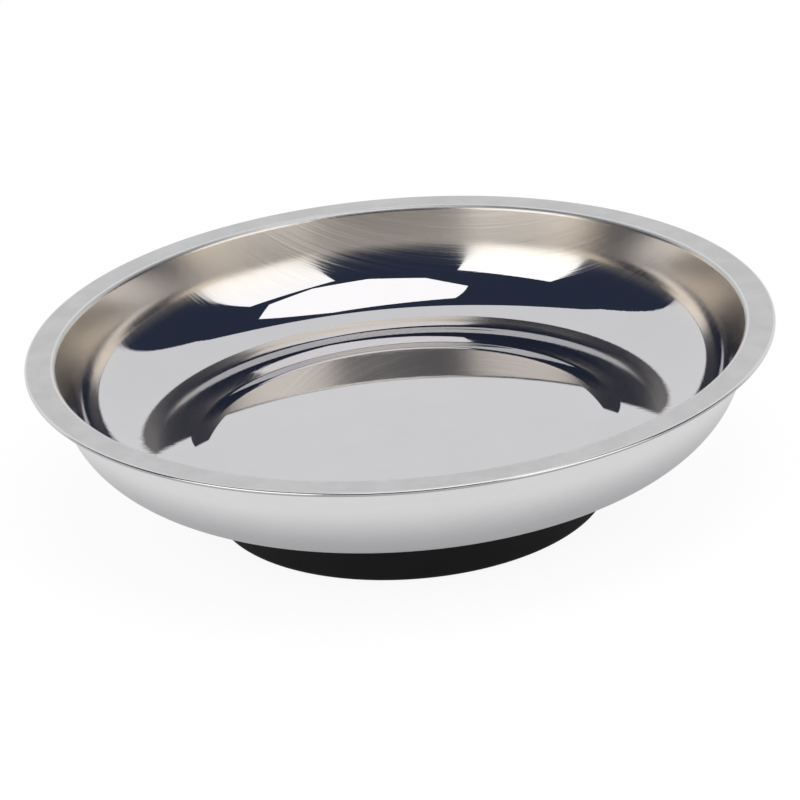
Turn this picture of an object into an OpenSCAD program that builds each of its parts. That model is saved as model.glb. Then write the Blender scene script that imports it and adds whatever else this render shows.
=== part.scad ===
// Magnetic parts tray: a pressed stainless-steel bowl on a rubber-covered ring magnet.
// The origin is the centre of the rubber foot, on the surface that the tray stands on, with +Z up.

/* [Bowl] */
// Outer diameter of the rim
rim_d = 150; // [126:1:220]
// Width of the rim, from its outer edge to the line of the wall
rim_w = 6; // [3:0.1:12]
// Thickness of the steel sheet
sheet = 0.8; // [0.5:0.1:1.2]
// Depth of the flat centre of the floor, below the rim
bowl_depth = 20.4; // [8:0.1:40]
// Draft of the wall, in degrees from upright
wall_draft = 10; // [2:1:25]
// Largest inside radius where the wall runs down into the floor
wall_r = 16.8; // [3:0.1:25]
// Inside radius of the bend between the rim and the wall
rim_bend_r = 0.3; // [0.2:0.1:1.5]

/* [Floor] */
// Flat floor left outside the boot's seat
seat_margin = 0.3; // [0.1:0.1:4]
// Height of the flat centre above the foot of the step round it
step_drop = 0.58; // [0.3:0.02:1.2]
// Steepest slope of the step, in degrees
step_slope = 8; // [5:0.5:14]
// Largest radius over the crest of the step
crest_r = 10.5; // [3:0.5:14]
// Largest radius in the valley at the foot of the step
valley_r = 9; // [2:0.5:14]
// Fall of the floor outside the step, in degrees, towards the wall
floor_fall = 1; // [0:0.1:2]

/* [Magnet base] */
// Diameter of the rubber boot
base_d = 80; // [60:0.5:100]
// Thickness of the boot's side
boot_wall = 3; // [2:0.1:5]
// Thickness of the boot's floor
boot_floor = 2.4; // [1.6:0.1:4]
// Thickness of the boot's lip, between the magnet and the bowl
boot_lip = 1; // [0.6:0.1:2]
// Reach of the lip over the edge of the magnet
lip_reach = 3; // [1.5:0.1:6]
// Radius on the boot's lower edge
foot_r = 1.2; // [0.4:0.1:1.5]
// Radius on the boot's upper edge
shoulder_r = 1.8; // [0.5:0.1:2.2]
// Height of the ring magnet
magnet_h = 9.7; // [8:0.1:16]
// Diameter of the magnet's bore
magnet_bore = 32; // [26:0.5:40]
// Chamfer on the magnet's edges
magnet_chamfer = 0.7; // [0.3:0.1:1.2]
// Gap round the magnet, and round the cup in its bore
fit_gap = 0.3; // [0.1:0.05:0.6]

/* [Fixing] */
// Thickness of the clamp plate
plate_t = 1.5; // [1:0.1:2]
// Inside radius of the clamp plate's bends
plate_bend_r = 0.7; // [0.4:0.1:1.5]
// Drop from the magnet's upper face to the top of the clamp plate's cup
cup_drop = 1.4; // [0.6:0.1:2]
// Thread diameter of the stud
stud_d = 6; // [5:0.5:7]
// Length of thread that stands out of the nut
stud_out = 0.7; // [0.2:0.1:1.2]
// Width of the stud's weld flange round the thread
weld_w = 1; // [0.5:0.1:2]
// Height of the stud's weld flange
weld_h = 0.9; // [0.6:0.1:1.2]
// Outer diameter of both washers
washer_d = 12; // [10:0.5:15]
// Thickness of each washer
washer_t = 1.5; // [1:0.1:1.8]
// Width of the lock washer's split
split_w = 0.8; // [0.4:0.1:1.5]
// Width of the nut across its flats
nut_af = 10; // [9:0.5:12]
// Height of the nut
nut_h = 4.8; // [4:0.1:5.6]
// Clearance of the plate and the washers round the stud
stud_gap = 0.3; // [0.2:0.05:0.5]
// Clearance of the nut's bore round the stud
thread_gap = 0.05; // [0.03:0.01:0.1]
// Chamfer on the stud's end and the nut's corners
thread_chamfer = 0.6; // [0.3:0.1:1]
// Diameter of the hole in the boot that a socket spanner enters
access_d = 14.4; // [12:0.1:20]

/* [Hidden] */
$fn = 96;

// Degrees between two points of an arc in a profile
arc_step = 4;
// How far a cut runs past a face, so that it opens it cleanly
cut = 0.5;
// Least length of straight sheet left between two bends
least_flat = 0.5;
// Least share of the step's height that its straight flank climbs
flank_share = 0.1;

// Heights, from the foot up to the rim
magnet_z = boot_floor + plate_t;
lip_z = magnet_z + magnet_h;
seat_z = lip_z + boot_lip;
disc_z = seat_z + sheet;
rim_z = disc_z + bowl_depth;

// Heights of the fixing, from the cup's top down to the stud's end
cup_top_z = lip_z - cup_drop;
flat_washer_z = cup_top_z - plate_t - washer_t;
lock_washer_z = flat_washer_z - washer_t;
nut_z = lock_washer_z - nut_h;
stud_end_z = nut_z - stud_out;

// Radii of the base and the fixing
base_r = base_d / 2;
boot_in_r = base_r - boot_wall;
magnet_r = boot_in_r - fit_gap;
bore_r = magnet_bore / 2;
cup_r = bore_r - fit_gap;
stud_r = stud_d / 2;
stud_hole_r = stud_r + stud_gap;

// Points of an arc round c, from angle a0 to a1, counted from outwards towards up
function arc(c, r, a0, a1) =
    let (n = max(2, ceil(abs(a1 - a0) / arc_step)))
    [for (i = [0 : n]) c + r * [cos(a0 + (a1 - a0) * i / n), sin(a0 + (a1 - a0) * i / n)]];

function reversed(points) = [for (i = [len(points) - 1 : -1 : 0]) points[i]];

// The floor grows outwards from the boot: a flat centre, then a step down by a crest, a straight flank
// and a valley. Both arcs tighten together where a low step leaves them little room.
disc_r = base_r - shoulder_r + seat_margin;
crest_fall = 1 - cos(step_slope);
valley_fall = cos(floor_fall) - cos(step_slope);
arc_fit = min(1, (1 - flank_share) * step_drop / (crest_r * crest_fall + valley_r * valley_fall));
crest_arc_r = crest_r * arc_fit;
valley_arc_r = valley_r * arc_fit;
crest_c = [disc_r, disc_z - crest_arc_r];
flank_l = (step_drop - crest_arc_r * crest_fall - valley_arc_r * valley_fall) / sin(step_slope);
valley_c = crest_c + (crest_arc_r + valley_arc_r) * [sin(step_slope), cos(step_slope)]
           + flank_l * [cos(step_slope), -sin(step_slope)];
step_foot = valley_c - valley_arc_r * [sin(floor_fall), cos(floor_fall)];

// Outside the step the floor falls to where its line meets the wall's line. A bend's tangents are its
// radius times the tangent of half its turn, and the lower bend takes what room the floor leaves it.
wall_top_r = rim_d / 2 - rim_w;
wall_foot_r = (wall_top_r - (rim_z - step_foot.y - step_foot.x * tan(floor_fall)) * tan(wall_draft))
              / (1 + tan(floor_fall) * tan(wall_draft));
wall_foot_z = step_foot.y - (wall_foot_r - step_foot.x) * tan(floor_fall);
wall_tan = tan((90 - wall_draft + floor_fall) / 2);
rim_tan = tan((90 - wall_draft) / 2);
rim_top_r = rim_bend_r + sheet;
wall_room = min((wall_foot_r - step_foot.x) / cos(floor_fall),
                (rim_z - wall_foot_z) / cos(wall_draft) - rim_top_r * rim_tan);
wall_arc_r = min(wall_r, (wall_room - least_flat) / wall_tan);
wall_c = [wall_foot_r, wall_foot_z] - wall_arc_r * wall_tan * [cos(floor_fall), -sin(floor_fall)]
         + wall_arc_r * [sin(floor_fall), cos(floor_fall)];
rim_c = [wall_top_r + rim_top_r * rim_tan, rim_z - rim_top_r];

// The sheet from the centre of the floor out to the rim, at a depth below its upper surface
function sheet_skin(depth) = concat(
    [[0, disc_z - depth]],
    arc(crest_c, crest_arc_r - depth, 90, 90 - step_slope),
    arc(valley_c, valley_arc_r + depth, 270 - step_slope, 270 - floor_fall),
    arc(wall_c, wall_arc_r + depth, 270 - floor_fall, 360 - wall_draft),
    arc(rim_c, rim_top_r - depth, 180 - wall_draft, 90));

// The clamp plate from its edge in to its hole, at a depth below its upper surface
function plate_skin(depth) =
    let (foot_c = [cup_r + plate_bend_r, magnet_z + plate_bend_r],
         top_bend_r = plate_bend_r + plate_t,
         top_c = [cup_r - top_bend_r, cup_top_z - top_bend_r])
    concat([[magnet_r, magnet_z - depth]],
           arc(foot_c, plate_bend_r + depth, 270, 180),
           arc(top_c, top_bend_r - depth, 0, 90),
           [[stud_hole_r, cup_top_z - depth]]);

module washer() {
    difference() {
        cylinder(d = washer_d, h = washer_t);
        translate([0, 0, -cut]) cylinder(r = stud_hole_r, h = washer_t + 2 * cut);
    }
}

// Pressed bowl: one sheet of even thickness with a full-round edge
module bowl() {
    edge_c = [rim_d / 2 - sheet / 2, rim_z - sheet / 2];
    color([0.78, 0.77, 0.75])
        rotate_extrude()
            polygon(concat(sheet_skin(0), arc(edge_c, sheet / 2, 90, -90), reversed(sheet_skin(sheet))));
}

// Stud with a weld flange, hanging from the underside of the bowl's floor
module weld_stud() {
    weld_r = stud_r + weld_w;
    weld_z = seat_z - weld_h;
    color([0.72, 0.72, 0.70])
        rotate_extrude()
            polygon([[0, seat_z], [weld_r, seat_z], [weld_r, weld_z], [stud_r, weld_z],
                     [stud_r, stud_end_z + thread_chamfer], [stud_r - thread_chamfer, stud_end_z],
                     [0, stud_end_z]]);
}

// Ferrite ring with chamfered edges, in the boot
module ring_magnet() {
    c = magnet_chamfer;
    color([0.20, 0.20, 0.21])
        rotate_extrude()
            polygon([[bore_r + c, magnet_z], [magnet_r - c, magnet_z], [magnet_r, magnet_z + c],
                     [magnet_r, lip_z - c], [magnet_r - c, lip_z], [bore_r + c, lip_z],
                     [bore_r, lip_z - c], [bore_r, magnet_z + c]]);
}

// Dished plate: its flange carries the magnet, and its cup stands in the magnet's bore round the nut
module clamp_plate() {
    color([0.76, 0.74, 0.66])
        rotate_extrude()
            polygon(concat(plate_skin(0), reversed(plate_skin(plate_t))));
}

module flat_washer() {
    color([0.74, 0.73, 0.68]) translate([0, 0, flat_washer_z]) washer();
}

// Split spring washer, tightened flat
module lock_washer() {
    color([0.62, 0.62, 0.60])
        translate([0, 0, lock_washer_z])
            difference() {
                washer();
                translate([0, -split_w / 2, -cut]) cube([washer_d, split_w, washer_t + 2 * cut]);
            }
}

// Hexagon nut with its corners turned off at both ends
module hex_nut() {
    corner_r = nut_af / 2 / cos(30);
    turned_r = corner_r - thread_chamfer;
    turned_h = thread_chamfer * tan(30);
    color([0.74, 0.73, 0.68])
        translate([0, 0, nut_z])
            difference() {
                intersection() {
                    cylinder(r = corner_r, h = nut_h, $fn = 6);
                    rotate_extrude()
                        polygon([[0, 0], [turned_r, 0], [corner_r, turned_h],
                                 [corner_r, nut_h - turned_h], [turned_r, nut_h], [0, nut_h]]);
                }
                translate([0, 0, -cut]) cylinder(r = stud_r + thread_gap, h = nut_h + 2 * cut);
            }
}

// Rubber boot: a cup round the magnet, with a lip over the magnet's edge and a hole for the spanner
module rubber_boot() {
    access_r = access_d / 2;
    lip_r = boot_in_r - lip_reach;
    foot_c = [base_r - foot_r, foot_r];
    shoulder_c = [base_r - shoulder_r, seat_z - shoulder_r];
    color([0.10, 0.10, 0.11])
        rotate_extrude()
            polygon(concat([[access_r, boot_floor], [access_r, 0]],
                           arc(foot_c, foot_r, 270, 360),
                           arc(shoulder_c, shoulder_r, 0, 90),
                           [[lip_r, seat_z], [lip_r, lip_z], [boot_in_r, lip_z],
                            [boot_in_r, boot_floor]]));
}

bowl();
weld_stud();
ring_magnet();
clamp_plate();
flat_washer();
lock_washer();
hex_nut();
rubber_boot();
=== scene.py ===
# %% [markdown]
# A round magnetic parts tray: a pressed stainless-steel bowl with a flat rim,
# standing on a ring magnet in a black rubber boot. Workshops keep loose screws
# in it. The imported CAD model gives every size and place, and this lesson dresses
# it: the bowl and the boot are lathed again as fine smooth skins, because a
# polished bowl mirrors everything and shows each flat facet, and the stud that
# can be seen from below gets its thread.

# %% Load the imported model
import math
import bpy
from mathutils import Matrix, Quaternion, Vector


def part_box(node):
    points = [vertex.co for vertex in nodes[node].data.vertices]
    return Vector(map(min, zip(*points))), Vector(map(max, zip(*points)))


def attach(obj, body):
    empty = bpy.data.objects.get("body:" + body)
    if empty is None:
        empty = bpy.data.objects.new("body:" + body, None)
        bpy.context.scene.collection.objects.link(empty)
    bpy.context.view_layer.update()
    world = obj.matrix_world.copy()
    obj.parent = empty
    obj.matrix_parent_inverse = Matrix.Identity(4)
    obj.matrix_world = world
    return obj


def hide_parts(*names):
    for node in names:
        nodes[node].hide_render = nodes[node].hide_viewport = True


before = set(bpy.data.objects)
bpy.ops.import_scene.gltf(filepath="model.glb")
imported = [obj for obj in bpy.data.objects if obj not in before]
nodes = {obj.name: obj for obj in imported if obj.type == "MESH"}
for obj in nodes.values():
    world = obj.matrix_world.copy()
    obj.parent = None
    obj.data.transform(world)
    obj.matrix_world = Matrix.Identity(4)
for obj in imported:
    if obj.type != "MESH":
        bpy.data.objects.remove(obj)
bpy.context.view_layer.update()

MM = 0.001
print("CAD pieces:", ", ".join(sorted(nodes)))

# %% [markdown]
# Operators work on whatever is selected, and the loaded model is still selected.
# So each new piece starts with nothing selected. A piece that is round about the
# tray's axis is drawn as half of its section: a small plane is merged to a single
# point, the point is extruded along the section, and the line is spun once round.
# A Screw modifier could do the same, but here each step stays easy to follow.

# %% Helpers for working by hand
def start_fresh():
    """Object mode with nothing selected."""
    if bpy.context.mode != "OBJECT":
        bpy.ops.object.mode_set(mode="OBJECT")
    bpy.ops.object.select_all(action="DESELECT")


def lathe(name, section, steps):
    """Spins a section of (radius, height) points about the axis into a closed skin."""
    start_fresh()
    bpy.ops.mesh.primitive_plane_add(size=MM, location=(section[0][0], 0, section[0][1]))
    piece = bpy.context.object
    piece.name = piece.data.name = name
    bpy.ops.object.transform_apply(location=True, rotation=True, scale=True)
    bpy.ops.object.mode_set(mode="EDIT")
    bpy.ops.mesh.merge(type="CENTER")
    for (r0, z0), (r1, z1) in zip(section, section[1:]):
        bpy.ops.mesh.extrude_region_move(
            TRANSFORM_OT_translate={"value": (r1 - r0, 0, z1 - z0)})
    bpy.ops.mesh.select_all(action="SELECT")
    bpy.ops.mesh.spin(steps=steps, angle=2 * math.pi, center=(0, 0, 0), axis=(0, 0, 1))
    bpy.ops.mesh.select_all(action="SELECT")
    bpy.ops.mesh.remove_doubles(threshold=2e-6)
    bpy.ops.mesh.normals_make_consistent(inside=False)
    bpy.ops.mesh.select_all(action="DESELECT")
    bpy.ops.mesh.select_non_manifold()
    bpy.ops.object.mode_set(mode="OBJECT")
    loose = sum(e.select for e in piece.data.edges)
    bpy.ops.object.shade_smooth()
    print(f"{name}: {len(piece.data.polygons)} faces, {loose} open edges")
    return piece


def arc(centre, radius, start, end, step=2.0):
    """Points of a circular arc in the section, angles in degrees."""
    count = max(2, math.ceil(abs(end - start) / step))
    angles = [math.radians(start + (end - start) * i / count) for i in range(count + 1)]
    return [(centre[0] + radius * math.cos(a), centre[1] + radius * math.sin(a)) for a in angles]


def hold_flats(runs, hold=0.1 * MM):
    """Joins runs of points into one line, with a point close to both ends of each straight."""
    line = list(runs[0])
    for run in runs[1:]:
        a, b = Vector(line[-1]), Vector(run[0])
        length = (b - a).length
        if length > 4 * hold:
            step = (b - a).normalized() * hold
            line += [tuple(a + step), tuple(b - step)]
        line += run if length > 1e-7 else run[1:]
    return line

# %% [markdown]
# The camera stands where the photograph was taken from: about 0.8 m away, a
# little above the rim, looking down into the bowl through a long lens, and
# tilted by a few degrees so that the tray's right side stands higher.

# %% Camera
camera_place = Vector((0, -0.73640644, 0.34581058))
camera_target = Vector((-0.00085335, 0, 0.02096099))
camera_data = bpy.data.cameras.new("camera")
camera_data.lens, camera_data.sensor_width = 180, 36
camera_data.clip_start, camera_data.clip_end = 0.01, 100
camera = bpy.data.objects.new("camera", camera_data)
bpy.context.collection.objects.link(camera)
camera.location = camera_place
camera.rotation_mode = "QUATERNION"
look = (camera_target - camera_place).to_track_quat("-Z", "Y")
camera.rotation_quaternion = look @ Quaternion((0, 0, 1), math.radians(-4.606))
bpy.context.scene.camera = camera
bpy.context.scene.view_settings.view_transform = "Standard"
print("camera", round((camera_target - camera_place).length, 3), "m from the tray's middle")

# %% [markdown]
# Polished metal shows the studio more than itself, so the studio is set up as for
# a product photograph: a white sweep behind, two tall softboxes in front to the
# left and right of the camera, an eight-sided softbox overhead, and a dark room
# between them. Small helpers keep the node graphs short.

# %% Node helpers
def new_material(name):
    """An empty node material with its output node."""
    material = bpy.data.materials.new(name)
    material.use_nodes = True
    material.node_tree.nodes.clear()
    out = material.node_tree.nodes.new("ShaderNodeOutputMaterial")
    return material, material.node_tree, out


def add(tree, kind, sockets=None, **settings):
    """One node, with its settings, and its sockets set to a value or fed by another node."""
    made = tree.nodes.new(kind)
    for key, value in settings.items():
        setattr(made, key, value)
    for key, value in (sockets or {}).items():
        if isinstance(value, bpy.types.NodeSocket):
            tree.links.new(value, made.inputs[key])
        else:
            made.inputs[key].default_value = value
    return made


def maths(tree, operation, a, b=0.0, c=0.0, clamp=False):
    """Result of a Math node."""
    made = add(tree, "ShaderNodeMath", {0: a, 1: b, 2: c}, operation=operation, use_clamp=clamp)
    return made.outputs[0]


def colour_mix(tree, factor, a, b):
    """A colour between a, at factor 0, and b, at factor 1."""
    return add(tree, "ShaderNodeMix", {0: factor, 6: a, 7: b}, data_type="RGBA").outputs[2]


def ramp(tree, value, low, high, start=0.0, end=1.0):
    """Goes smoothly from start to end while value goes from low to high."""
    made = add(tree, "ShaderNodeMapRange",
               {"Value": value, "From Min": low, "From Max": high, "To Min": start, "To Max": end},
               interpolation_type="SMOOTHSTEP")
    return made.outputs["Result"]


def seen_directly(tree):
    """1 for rays from the camera, from a mirror or through glass, and 0 for other rays."""
    path = add(tree, "ShaderNodeLightPath")
    both = maths(tree, "MAXIMUM", path.outputs["Is Camera Ray"], path.outputs["Is Glossy Ray"])
    return maths(tree, "MAXIMUM", both, path.outputs["Is Transmission Ray"])

# %% [markdown]
# A photographer hangs a sheet of white paper behind the tray and lets it curve down
# under it. Here the world is that paper. It is pure white where the camera or the
# metal looks straight at it, and dimmer as a light, so that it doesn't wash out the
# shadow under the tray.

# %% White world behind everything
world = bpy.data.worlds.new("white_sweep")
bpy.context.scene.world = world
world.use_nodes = True
tree = world.node_tree
tree.nodes.clear()
fill_light = 0.35
strength = maths(tree, "MULTIPLY_ADD", seen_directly(tree), 1 - fill_light, fill_light)
sky = add(tree, "ShaderNodeBackground", {"Color": (1, 1, 1, 1), "Strength": strength})
add(tree, "ShaderNodeOutputWorld", {"Surface": sky.outputs[0]})
print("world: white 1 where seen,", fill_light, "as fill light")

# %% [markdown]
# The floor is the lower part of the same paper. It glows a little, because real white
# paper is lit by lamps that aren't modelled one by one, and it keeps a faint soft
# shadow. The bowl's outside mirrors the paper close to the foot, where the tray
# itself takes the light away, so the paper is darker there in the reflection. From
# below the paper is clear, so that the underside can be looked at. It lies a hair
# below the foot, because two faces in exactly the same place would flicker.

# %% Floor
floor_glow = 0.90
floor_paint, tree, out = new_material("floor_paper")
paper = add(tree, "ShaderNodeBsdfDiffuse", {"Color": (0.16, 0.16, 0.16, 1)})
place = add(tree, "ShaderNodeTexCoord").outputs["Object"]
from_foot = add(tree, "ShaderNodeVectorMath", {0: place}, operation="LENGTH").outputs["Value"]
shadow = ramp(tree, from_foot, 0.035, 0.11, 0.5, 1.0)
in_metal = add(tree, "ShaderNodeLightPath").outputs["Is Glossy Ray"]
elsewhere = maths(tree, "SUBTRACT", 1.0, in_metal)
shadow = maths(tree, "MULTIPLY_ADD", in_metal, shadow, elsewhere)
strength = maths(tree, "MULTIPLY", seen_directly(tree), floor_glow)
strength = maths(tree, "MULTIPLY", strength, shadow)
glow = add(tree, "ShaderNodeEmission", {"Color": (1, 1, 1, 1), "Strength": strength})
lit = add(tree, "ShaderNodeAddShader", {0: paper.outputs[0], 1: glow.outputs[0]})
clear = add(tree, "ShaderNodeBsdfTransparent")
side = add(tree, "ShaderNodeNewGeometry")
mix = add(tree, "ShaderNodeMixShader",
          {0: side.outputs["Backfacing"], 1: lit.outputs[0], 2: clear.outputs[0]})
tree.links.new(mix.outputs[0], out.inputs["Surface"])
start_fresh()
floor_size, floor_gap = 24, 0.05 * MM
bpy.ops.mesh.primitive_plane_add(size=floor_size, location=(0, 0, -floor_gap))
floor = bpy.context.object
floor.name = "floor"
floor.data.materials.append(floor_paint)
print("floor: white paper, clear from below")

# %% [markdown]
# The bright shapes on the far wall of the bowl are the lamps. Two are tall, to the left
# and right of the camera, and the right one leans a little. A hollow mirror swaps left
# and right and turns things over, so the left lobe is the right lamp, and its lower
# edge is the lamp's top. The third lamp hangs overhead. It has eight sides, and the
# bend shows it as a long lens with pointed ends. The edges of the lamps were found by
# following lines of sight from the camera to the steel and on to the room.

# %% Softboxes
def light_card(name, power):
    """Makes the active mesh a lamp that the camera doesn't see."""
    card = bpy.context.object
    card.name = name
    paint, tree, out = new_material(name)
    glow = add(tree, "ShaderNodeEmission", {"Color": (1, 0.99, 0.97, 1), "Strength": power})
    tree.links.new(glow.outputs[0], out.inputs["Surface"])
    card.data.materials.append(paint)
    card.visible_camera = card.visible_shadow = False


def front_softbox(name, left_edge, right_edge, top, lean, power, distance=1.2):
    """A tall softbox, its edges given by their directions in degrees seen from the tray."""
    start_fresh()
    middle = math.radians((left_edge + right_edge) / 2)
    width = 2 * distance * math.tan(math.radians((right_edge - left_edge) / 2))
    height = distance * math.tan(math.radians(top))
    place = (distance * math.sin(middle), -distance * math.cos(middle), height / 2)
    turn = (math.pi / 2, math.radians(lean), middle)
    bpy.ops.mesh.primitive_plane_add(size=1, location=place, rotation=turn)
    bpy.context.object.scale = (width, height, 1)
    light_card(name, power)
    print(f"{name}: {width:.2f} by {height:.2f} m")


front_softbox("softbox_left", -70, -27, top=46.9, lean=0, power=1.85)
front_softbox("softbox_right", 27.8, 71.4, top=50.1, lean=-4, power=1.68)
start_fresh()
top_height = 1.25
top_place = (0.16 * top_height, -0.28 * top_height, top_height)
bpy.ops.mesh.primitive_circle_add(vertices=8, radius=0.47 * top_height, fill_type="NGON", location=top_place)
light_card("softbox_top", 1.7)
print("softbox_top: eight sides,", top_height, "m up")

# %% [markdown]
# Everything between the lamps is the unlit room, and it makes the navy bands on the
# bend and the dark crescents on the step. It is a box without a floor, open at the back
# where the white paper hangs, slightly blue high up and greyer near the ground. Only
# reflections see it, so it throws no shadow and doesn't dim the light.

# %% Dark room
room_paint, tree, out = new_material("dark_room")
place = add(tree, "ShaderNodeTexCoord").outputs["Object"]
parts = add(tree, "ShaderNodeSeparateXYZ", {0: place})
across, along, height = (parts.outputs[axis] for axis in "XYZ")
low_tone, high_tone = (0.14, 0.135, 0.145, 1), (0.033, 0.042, 0.076, 1)
tone = colour_mix(tree, ramp(tree, height, 0.1, 0.55), low_tone, high_tone)
glow = add(tree, "ShaderNodeEmission", {"Color": tone, "Strength": 1.0})
back_middle, back_curve, back_limit = 0.52, 0.09, 0.665
back_edge = maths(tree, "MULTIPLY_ADD", maths(tree, "MULTIPLY", across, across), back_curve, back_middle)
back_edge = maths(tree, "MINIMUM", back_edge, back_limit)
open_back = maths(tree, "GREATER_THAN", along, back_edge)
clear = add(tree, "ShaderNodeBsdfTransparent")
mix = add(tree, "ShaderNodeMixShader", {0: open_back, 1: glow.outputs[0], 2: clear.outputs[0]})
tree.links.new(mix.outputs[0], out.inputs["Surface"])
start_fresh()
bpy.ops.mesh.primitive_cube_add(size=2, location=(0, 0, 0))
room = bpy.context.object
room.name = "dark_room"
half_width, half_depth, half_height, back_wall = 1.52, 1.35, 1.0, 0.70
room.scale = (half_width, half_depth, half_height)
room.location = (0, back_wall - half_depth, half_height)
bpy.ops.object.transform_apply(location=True, rotation=True, scale=True)
bpy.ops.object.mode_set(mode="EDIT")
bpy.ops.mesh.select_all(action="DESELECT")
bpy.ops.object.mode_set(mode="OBJECT")
for face in room.data.polygons:
    face.select = face.normal.y > 0.9 or face.normal.z < -0.9
bpy.ops.object.mode_set(mode="EDIT")
bpy.ops.mesh.delete(type="FACE")
bpy.ops.object.mode_set(mode="OBJECT")
room.data.materials.append(room_paint)
room.visible_camera = room.visible_diffuse = False
room.visible_shadow = room.visible_transmission = False
print("dark room: seen only in reflections, open at the back")

# %% [markdown]
# The bowl is one sheet, 0.8 mm thick, pressed into a wide flat-rimmed pan. Its floor
# has a flat disc over the magnet. Round the disc it steps down by about half a
# millimetre and then falls very gently to the wall. The inner and outer faces are
# drawn by one function at two depths, so the sheet is equally thick everywhere. An
# arc whose centre is above the sheet gets wider with depth, and one whose centre is
# below it gets tighter. Extra points next to each bend keep the flats truly flat
# once the skin is shaded smooth.

# %% The bowl's section
rim_r, rim_w, sheet = 75 * MM, 6 * MM, 0.8 * MM
disc_r, disc_z, rim_z = 38.5 * MM, 15.4 * MM, 35.8 * MM
step_drop, step_slope, floor_fall = 0.58 * MM, 8, 1
crest_r, valley_r = 10.5 * MM, 9 * MM
wall_r, wall_draft, rim_bend_r = 16.8 * MM, 10, 1.1 * MM
edge_r = 0.37 * MM


def down(slope, length):
    """A step along a line that falls outwards at a slope in degrees."""
    return Vector((math.cos(math.radians(slope)), -math.sin(math.radians(slope)))) * length


def out_of(slope, length):
    """A step at right angles to that line, upwards."""
    return Vector((math.sin(math.radians(slope)), math.cos(math.radians(slope)))) * length


def bowl_face(depth):
    """Runs of points of one face of the sheet, from the axis to the rim."""
    crest_c = Vector((disc_r, disc_z - crest_r))
    crest_fall = crest_r - out_of(step_slope, crest_r).y
    valley_fall = out_of(floor_fall, valley_r).y - out_of(step_slope, valley_r).y
    flank = (step_drop - crest_fall - valley_fall) / math.sin(math.radians(step_slope))
    valley_c = crest_c + out_of(step_slope, crest_r + valley_r) + down(step_slope, flank)
    step_foot = valley_c - out_of(floor_fall, valley_r)

    wall_top = rim_r - rim_w
    fall, draft = math.tan(math.radians(floor_fall)), math.tan(math.radians(wall_draft))
    foot_r = (wall_top - (rim_z - step_foot.y - step_foot.x * fall) * draft) / (1 + fall * draft)
    wall_foot = Vector((foot_r, step_foot.y - (foot_r - step_foot.x) * fall))
    wall_turn = math.tan(math.radians((90 - wall_draft + floor_fall) / 2))
    rim_turn = math.tan(math.radians((90 - wall_draft) / 2))
    wall_c = wall_foot - down(floor_fall, wall_r * wall_turn) + out_of(floor_fall, wall_r)
    rim_c = (wall_top + rim_bend_r * rim_turn, rim_z - rim_bend_r)
    return [[(0, disc_z - depth)],
            arc(crest_c, crest_r - depth, 90, 90 - step_slope, 0.8),
            arc(valley_c, valley_r + depth, 270 - step_slope, 270 - floor_fall, 0.8),
            arc(wall_c, wall_r + depth, 270 - floor_fall, 360 - wall_draft, 1.5),
            arc(rim_c, rim_bend_r - depth, 180 - wall_draft, 90, 5)]


upper, lower = bowl_face(0), bowl_face(sheet)
edge = [arc((rim_r - edge_r, rim_z - edge_r), edge_r, 90, 0, 10),
        arc((rim_r - edge_r, rim_z - sheet + edge_r), edge_r, 0, -90, 10)]
inside_line = hold_flats([*upper, edge[0]])
outside_line = hold_flats([edge[1], *[run[::-1] for run in lower[::-1]]])
section = inside_line + outside_line
print(len(section), "points in the bowl's section")

# %% [markdown]
# A press squeezes a real bowl from a flat disc between a punch and a die. On the
# computer it is simpler to spin its section once round the axis. With 256 steps even
# the mirror-like bend shows no corners.

# %% Spin the bowl
bowl = lathe("bowl_skin", section, 256)
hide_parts("bowl")
low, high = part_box("bowl")
print("bowl in mm:", [round(v / MM, 2) for v in bowl.dimensions])
print("CAD bowl:  ", [round((b - a) / MM, 2) for a, b in zip(low, high)])

# %% [markdown]
# The sheet was brushed in straight lines while it was still flat. Pressing then bent
# the lines with the metal, so they run along the far wall but down the left and right
# walls. To get this, each point of the skin is given its place on the flat blank: its
# direction from the axis, at the distance measured along the section. That is kept as
# a UV map, in metres, and the finish draws its lines there.

# %% Places on the flat blank
def lengths(line):
    """Distance from the first point of a line to each point, measured along it."""
    total, found = 0.0, [0.0]
    for a, b in zip(line, line[1:]):
        total += (Vector(b) - Vector(a)).length
        found.append(total)
    return found


def key(r, z, grid=0.004 * MM):
    """A section point as a cell of a fine grid, which the spun points are looked up by."""
    return round(r / grid), round(z / grid)


faces = ((inside_line, 0), (outside_line[::-1], 1))
blank = {}
for line, under in faces:
    for (r, z), s in zip(line, lengths(line)):
        cell = key(r, z)
        for dr in (-1, 0, 1):
            for dz in (-1, 0, 1):
                blank.setdefault((cell[0] + dr, cell[1] + dz), (s, under))
for line, under in faces:
    for (r, z), s in zip(line, lengths(line)):
        blank[key(r, z)] = (s, under)

# %% [markdown]
# With that table every point of the skin finds its place on the blank, turned so that the
# brush ran at a slight angle to the camera. Each face also learns which side of the
# sheet it is on, because the inside and the outside get their own finish.

# %% Lay the skin out on the blank
brush_angle = math.radians(-14)
mesh = bowl.data
on_blank = []
for vertex in mesh.vertices:
    x, y, z = vertex.co
    s, under = blank[key(math.hypot(x, y), z)]
    turn = math.atan2(y, x) - brush_angle
    on_blank.append((s * math.cos(turn), s * math.sin(turn), under))
uv = mesh.uv_layers.new(name="blank")
for loop in mesh.loops:
    uv.data[loop.index].uv = on_blank[loop.vertex_index][:2]
for face in mesh.polygons:
    face.material_index = min(on_blank[i][2] for i in face.vertices)
print("blank radius in mm:", round(lengths(inside_line)[-1] / MM, 1))

# %% [markdown]
# Two kinds of noise make the finish. Brush lines are noise on the blank, stretched so far
# that it turns into long thin strokes. Wear is cloudy noise in the tray's own space,
# left by handling.

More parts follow.
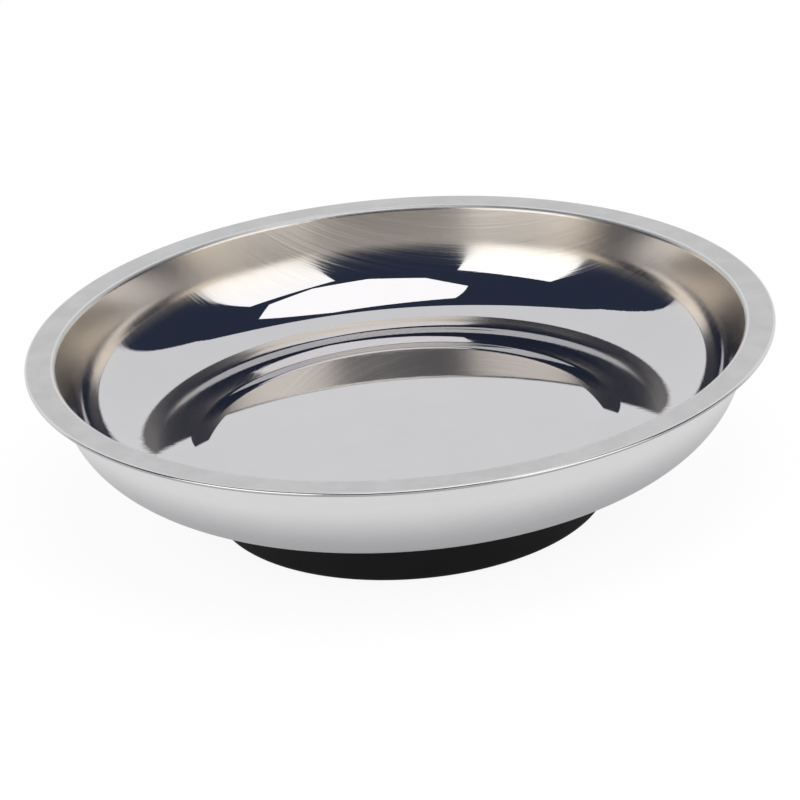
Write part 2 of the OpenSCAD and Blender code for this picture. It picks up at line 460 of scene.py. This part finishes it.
# %% Brush lines and wear
def brush_lines(tree, blank_place, along, across):
    """Long thin strokes, from -0.5 to 0.5, so many to the metre along and across them."""
    stretched = add(tree, "ShaderNodeMapping", {"Vector": blank_place, "Scale": (along, across, 1)})
    noise = add(tree, "ShaderNodeTexNoise",
                {"Vector": stretched.outputs[0], "Scale": 1.0, "Detail": 0.0, "Roughness": 0.6})
    return maths(tree, "SUBTRACT", noise.outputs["Fac"], 0.5)


def cloudy(tree, place, scale):
    """Soft patches from 0 to 1."""
    noise = add(tree, "ShaderNodeTexNoise",
                {"Vector": place, "Scale": scale, "Detail": 4.0, "Roughness": 0.6})
    return noise.outputs["Fac"]

# %% [markdown]
# The steel is satin on the rim and the upper wall, where the brush lines are still
# crisp, and nearly a mirror on the floor and round the lower bend, where the press
# rubbed it smooth. The border between the two is ragged, because single lines reach
# further down than others. On the left and right the wall was drawn over the die
# across the lines, which leaves it smoother, with fine furrows and a warmer tone.

# %% Where each finish goes
def bowl_zones(tree, place, stroke, satin_top, satin_foot):
    """Masks from 0 to 1 for the parts of the bowl, each made from the place on it."""
    height = add(tree, "ShaderNodeSeparateXYZ", {0: place}).outputs["Z"]
    flat = add(tree, "ShaderNodeVectorMath", {0: place, 1: (1, 1, 0)}, operation="MULTIPLY").outputs[0]
    from_axis = add(tree, "ShaderNodeVectorMath", {0: flat}, operation="LENGTH").outputs["Value"]
    outward = add(tree, "ShaderNodeVectorMath", {0: flat}, operation="NORMALIZE").outputs[0]
    side = maths(tree, "ABSOLUTE", add(tree, "ShaderNodeSeparateXYZ", {0: outward}).outputs["X"])
    ragged = maths(tree, "MULTIPLY_ADD", stroke, 4 * MM, height)
    edge = ramp(tree, from_axis, rim_r - 0.55 * MM, rim_r - 0.35 * MM)
    lower_half = ramp(tree, height, rim_z - 0.36 * MM, rim_z - 0.28 * MM, 1, 0)
    past_wall = ramp(tree, height, rim_z - 0.14 * MM, rim_z - 0.1 * MM)
    on_flat = ramp(tree, height, rim_z - 0.02 * MM, rim_z - 0.003 * MM)
    return {
        "satin": ramp(tree, ragged, satin_foot, satin_top),
        "rim": ramp(tree, height, rim_z - 0.8 * MM, rim_z - 0.3 * MM),
        "bend": maths(tree, "SUBTRACT", past_wall, on_flat),
        "edge": edge,
        # painted shade: the lower half of the sheet's edge, which faces down, gets a darker tone
        "cut": maths(tree, "MULTIPLY", edge, lower_half),
        "side": side,
        "drawn": maths(tree, "SUBTRACT", ramp(tree, side, 0.45, 0.65), ramp(tree, side, 0.84, 0.92)),
        "wall": ramp(tree, from_axis, 42 * MM, 50 * MM)}

# %% [markdown]
# Roughness goes from zone to zone. The rim is the dullest. Its bend and its edge were
# rubbed brighter by the tools, and they catch the thin highlight round the tray.

# %% Roughness of the steel
rim_rough, bend_rough, edge_rough = 0.36, 0.24, 0.14


def between(tree, factor, start, end):
    """A value that goes from start, at factor 0, to end, at factor 1."""
    return maths(tree, "MULTIPLY_ADD", factor, maths(tree, "SUBTRACT", end, start), start)


def steel_roughness(tree, zone, satin, drawn, bright):
    """Roughness before the brush lines and the wear."""
    rim = between(tree, zone["bend"], rim_rough, bend_rough)
    rim = between(tree, zone["edge"], rim, edge_rough)
    wall = between(tree, zone["drawn"], satin, drawn)
    upper = between(tree, zone["rim"], wall, rim)
    return between(tree, zone["satin"], bright, upper)

# %% [markdown]
# Tone follows the same zones. The sheet's edge is bright on top, where it was deburred,
# and its lower half, which faces down, is darkened as painted shade. The rim is a
# little blotchy, from fingers.

# %% Tone of the steel
# the third tone is painted shade for the lower half of the sheet's edge
bright_tone, polished_tone, cut_tone = (0.57, 0.565, 0.585, 1), (0.63, 0.63, 0.64, 1), (0.38, 0.38, 0.39, 1)
rim_dark, rim_light = (0.515, 0.513, 0.52, 1), (0.56, 0.558, 0.567, 1)


def steel_tone(tree, zone, place, satin_tone, side_tone):
    """Colour before the brush lines and the wear."""
    satin = colour_mix(tree, ramp(tree, zone["side"], 0.8, 0.95), satin_tone, side_tone)
    wall = colour_mix(tree, zone["satin"], bright_tone, satin)
    rim = colour_mix(tree, ramp(tree, cloudy(tree, place, 140.0), 0.35, 0.65), rim_dark, rim_light)
    tone = colour_mix(tree, zone["rim"], wall, rim)
    polished = maths(tree, "MAXIMUM", zone["bend"], zone["edge"])
    tone = colour_mix(tree, polished, tone, polished_tone)
    # painted shade darkens the lower half of the sheet's edge
    return colour_mix(tree, zone["cut"], tone, cut_tone)

# %% [markdown]
# Now the pieces come together. Brushed metal spreads its reflections across the lines,
# so the shader is anisotropic, turned along the lines by the blank's tangent. The
# lines change roughness and tone a little, and press a very shallow bump into the
# sheet. They are faint on the bright floor and on the rim.

# %% Brushed steel
def brushed_steel(name, satin_top, satin_foot, roughs, satin_tone, side_tone, line_depth):
    """Stainless sheet, satin above one height and bright below another."""
    material, tree, out = new_material(name)
    blank_place = add(tree, "ShaderNodeUVMap", uv_map="blank").outputs["UV"]
    place = add(tree, "ShaderNodeTexCoord").outputs["Object"]
    fine, coarse = brush_lines(tree, blank_place, 14, 3400), brush_lines(tree, blank_place, 22, 1500)
    stroke = maths(tree, "MULTIPLY", maths(tree, "MULTIPLY_ADD", coarse, 0.4, fine), line_depth)
    zone = bowl_zones(tree, place, stroke, satin_top, satin_foot)
    on_wall, on_rim = ramp(tree, zone["satin"], 0, 0.5, 0.05, 1.0), ramp(tree, zone["rim"], 0, 1, 1.0, 0.35)
    streak = maths(tree, "MULTIPLY", stroke, maths(tree, "MULTIPLY", on_wall, on_rim))
    wear = maths(tree, "SUBTRACT", cloudy(tree, place, 90.0), 0.5)

    rough = maths(tree, "MULTIPLY_ADD", streak, 0.03, steel_roughness(tree, zone, *roughs))
    rough = maths(tree, "MULTIPLY_ADD", wear, 0.01, rough, clamp=True)
    shade = maths(tree, "MULTIPLY_ADD", streak, ramp(tree, zone["side"], 0.25, 0.45, 0.3, 0.06), 1.0)
    shade = maths(tree, "MULTIPLY_ADD", wear, 0.06, shade)
    tone = steel_tone(tree, zone, place, satin_tone, side_tone)
    tone = add(tree, "ShaderNodeVectorMath", {0: tone, "Scale": shade}, operation="SCALE").outputs[0]
    furrow = maths(tree, "MULTIPLY", maths(tree, "MULTIPLY", stroke, zone["wall"]),
                   ramp(tree, zone["side"], 0.5, 0.9))
    furrow = maths(tree, "MULTIPLY_ADD", furrow, 0.35, streak)
    bump = add(tree, "ShaderNodeBump", {"Strength": 0.5, "Distance": 0.012 * MM, "Height": furrow})
    tangent = add(tree, "ShaderNodeTangent", direction_type="UV_MAP", uv_map="blank")
    steel = add(tree, "ShaderNodeBsdfPrincipled", {
        "Base Color": tone, "Metallic": 1.0, "Roughness": rough, "Normal": bump.outputs[0],
        "Anisotropic": 0.4, "Anisotropic Rotation": 0.25, "Tangent": tangent.outputs[0]})
    tree.links.new(steel.outputs[0], out.inputs["Surface"])
    return material

# %% [markdown]
# The bowl gets the finish twice. Inside, it goes from satin to a mirror, and the satin
# wall looks warm. Outside it was never rubbed by the punch, so it stays satin all over,
# with lines that hardly show.

# %% Finish the bowl
mesh.materials.append(brushed_steel(
    "stainless_inside", rim_z - 7 * MM, rim_z - 14.5 * MM, (0.262, 0.2, 0.02),
    (0.65, 0.605, 0.55, 1), (0.73, 0.65, 0.55, 1), 1.0))
mesh.materials.append(brushed_steel(
    "stainless_outside", rim_z - 6 * MM, rim_z - 16 * MM, (0.35, 0.32, 0.29),
    (0.70, 0.69, 0.695, 1), (0.70, 0.69, 0.705, 1), 0.12))
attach(bowl, "root")
print("steel: two finishes on the bowl")

# %% [markdown]
# The boot is a rubber cup moulded round the magnet, with a rounded foot and shoulder
# and a lip that turns in over the magnet's edge. Its section is a closed loop, so the
# first point is repeated at the end and the spun seam merges. Rounded edges catch a
# thin highlight, which is all that shows the form of something so black.

# %% Boot
base_r, seat_z, access_r = 40 * MM, 14.6 * MM, 7.2 * MM
foot_r, shoulder_r = 1.2 * MM, 1.8 * MM
inside_r, lip_r, lip_z, boot_floor = 37 * MM, 34 * MM, 13.6 * MM, 2.4 * MM
hole_edge = 0.3 * MM
loop = hold_flats([
    arc((access_r + hole_edge, boot_floor - hole_edge), hole_edge, 90, 180, 30),
    arc((access_r + hole_edge, hole_edge), hole_edge, 180, 270, 30),
    arc((base_r - foot_r, foot_r), foot_r, 270, 360, 9),
    arc((base_r - shoulder_r, seat_z - shoulder_r), shoulder_r, 0, 90, 9),
    arc((lip_r + hole_edge, seat_z - hole_edge), hole_edge, 90, 180, 30),
    [(lip_r, lip_z)], [(inside_r, lip_z)], [(inside_r, boot_floor)]])
loop += hold_flats([loop[-1:], loop[:1]])[1:]
boot = lathe("boot_skin", loop, 192)
bpy.ops.object.shade_smooth_by_angle(angle=math.radians(40))
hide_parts("rubber_boot")
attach(boot, "root")
print("boot in mm:", [round(v / MM, 2) for v in boot.dimensions])

# %% [markdown]
# Black rubber is matte with a faint satin sheen. The mould gives it a fine grain,
# and handling leaves slightly greyer patches, so both tone and roughness wander.

# %% Boot rubber
rubber, tree, out = new_material("boot_rubber")
place = add(tree, "ShaderNodeTexCoord").outputs["Object"]
grain = add(tree, "ShaderNodeTexNoise", {"Vector": place, "Scale": 2600.0, "Detail": 3.0}).outputs["Fac"]
patch = add(tree, "ShaderNodeTexNoise", {"Vector": place, "Scale": 120.0, "Detail": 3.0}).outputs["Fac"]
black, worn = (0.005, 0.005, 0.0054, 1), (0.009, 0.009, 0.0095, 1)
tone = colour_mix(tree, ramp(tree, patch, 0.3, 0.75), black, worn)
rough = maths(tree, "MULTIPLY_ADD", patch, 0.2, 0.5)
bump = add(tree, "ShaderNodeBump", {"Strength": 0.4, "Distance": 0.03 * MM, "Height": grain})
shader = add(tree, "ShaderNodeBsdfPrincipled", {
    "Base Color": tone, "Roughness": rough, "Normal": bump.outputs[0], "Specular IOR Level": 0.2})
tree.links.new(shader.outputs[0], out.inputs["Surface"])
boot.data.materials.append(rubber)
print("boot: black rubber")

# %% [markdown]
# The stud hangs from a weld under the floor and carries everything else. Its thread
# has a pitch of 1 mm. Only its end shows, past the nut, so the thread is turned as
# plain rings of the right pitch and depth, which look the same as a helix there. A
# real stud is rolled between dies, so crests and roots are slightly rounded.

# %% Threaded stud
stud_r, stud_end_z, weld_r, weld_z = 3 * MM, 2.2 * MM, 4 * MM, 13.7 * MM
pitch, thread_depth, chamfer = 1 * MM, 0.54 * MM, 0.6 * MM
line = [(0, stud_end_z), (stud_r - chamfer, stud_end_z), (stud_r - 0.08 * MM, stud_end_z + chamfer)]
z = stud_end_z + chamfer
while z + pitch < weld_z:
    line += [(stud_r, z + 0.06 * MM), (stud_r, z + 0.2 * MM), (stud_r - thread_depth, z + 0.52 * MM),
             (stud_r - thread_depth, z + 0.64 * MM), (stud_r, z + 0.94 * MM)]
    z += pitch
weld_edge = 0.2 * MM
line += [(stud_r, weld_z), (weld_r - weld_edge, weld_z), (weld_r, weld_z + weld_edge),
         (weld_r, seat_z), (0, seat_z)]
stud = lathe("stud_thread", line, 64)
bpy.ops.object.shade_smooth_by_angle(angle=math.radians(30))
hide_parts("weld_stud")
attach(stud, "root")
print("stud in mm:", [round(v / MM, 2) for v in stud.dimensions])

# %% [markdown]
# The hidden parts keep their CAD shape. The plate, washers and nut are zinc-plated:
# dull, slightly yellow, with a faint blotchy spangle. The magnet is sintered ferrite,
# dark and fine-grained like slate. The stud is plain rolled steel. Each finish reads
# the piece's own coordinates, so it stays put when the part is moved.

# %% Finishes of the fixing
def mottled(name, dark, light, blotch, rough_low, rough_high, metal, depth):
    """A finish whose tone and roughness wander, over a fine grain."""
    material, tree, out = new_material(name)
    place = add(tree, "ShaderNodeTexCoord").outputs["Object"]
    patch = add(tree, "ShaderNodeTexNoise", {"Vector": place, "Scale": blotch, "Detail": 4.0}).outputs["Fac"]
    grain = add(tree, "ShaderNodeTexNoise", {"Vector": place, "Scale": 8 * blotch, "Detail": 3.0}).outputs["Fac"]
    tone = colour_mix(tree, ramp(tree, patch, 0.35, 0.65), dark, light)
    rough = ramp(tree, patch, 0.3, 0.7, rough_low, rough_high)
    bump = add(tree, "ShaderNodeBump", {"Strength": 0.5, "Distance": depth, "Height": grain})
    shader = add(tree, "ShaderNodeBsdfPrincipled", {
        "Base Color": tone, "Metallic": metal, "Roughness": rough, "Normal": bump.outputs[0]})
    tree.links.new(shader.outputs[0], out.inputs["Surface"])
    return material


def paint(node, material):
    """Gives a CAD piece its finish."""
    mesh = nodes[node].data
    mesh.materials.clear()
    mesh.materials.append(material)


zinc = mottled("zinc_plate", (0.50, 0.48, 0.41, 1), (0.64, 0.62, 0.54, 1), blotch=420,
               rough_low=0.28, rough_high=0.46, metal=1.0, depth=0.01 * MM)
ferrite = mottled("ferrite", (0.022, 0.022, 0.024, 1), (0.042, 0.042, 0.045, 1), blotch=700,
                  rough_low=0.5, rough_high=0.75, metal=0.0, depth=0.03 * MM)
rolled = mottled("stud_steel", (0.46, 0.46, 0.45, 1), (0.58, 0.58, 0.56, 1), blotch=600,
                 rough_low=0.25, rough_high=0.4, metal=1.0, depth=0.008 * MM)
for node in ("clamp_plate", "flat_washer", "lock_washer", "hex_nut"):
    paint(node, zinc)
paint("ring_magnet", ferrite)
stud.data.materials.append(rolled)
print("fixing: zinc, ferrite and stud steel")
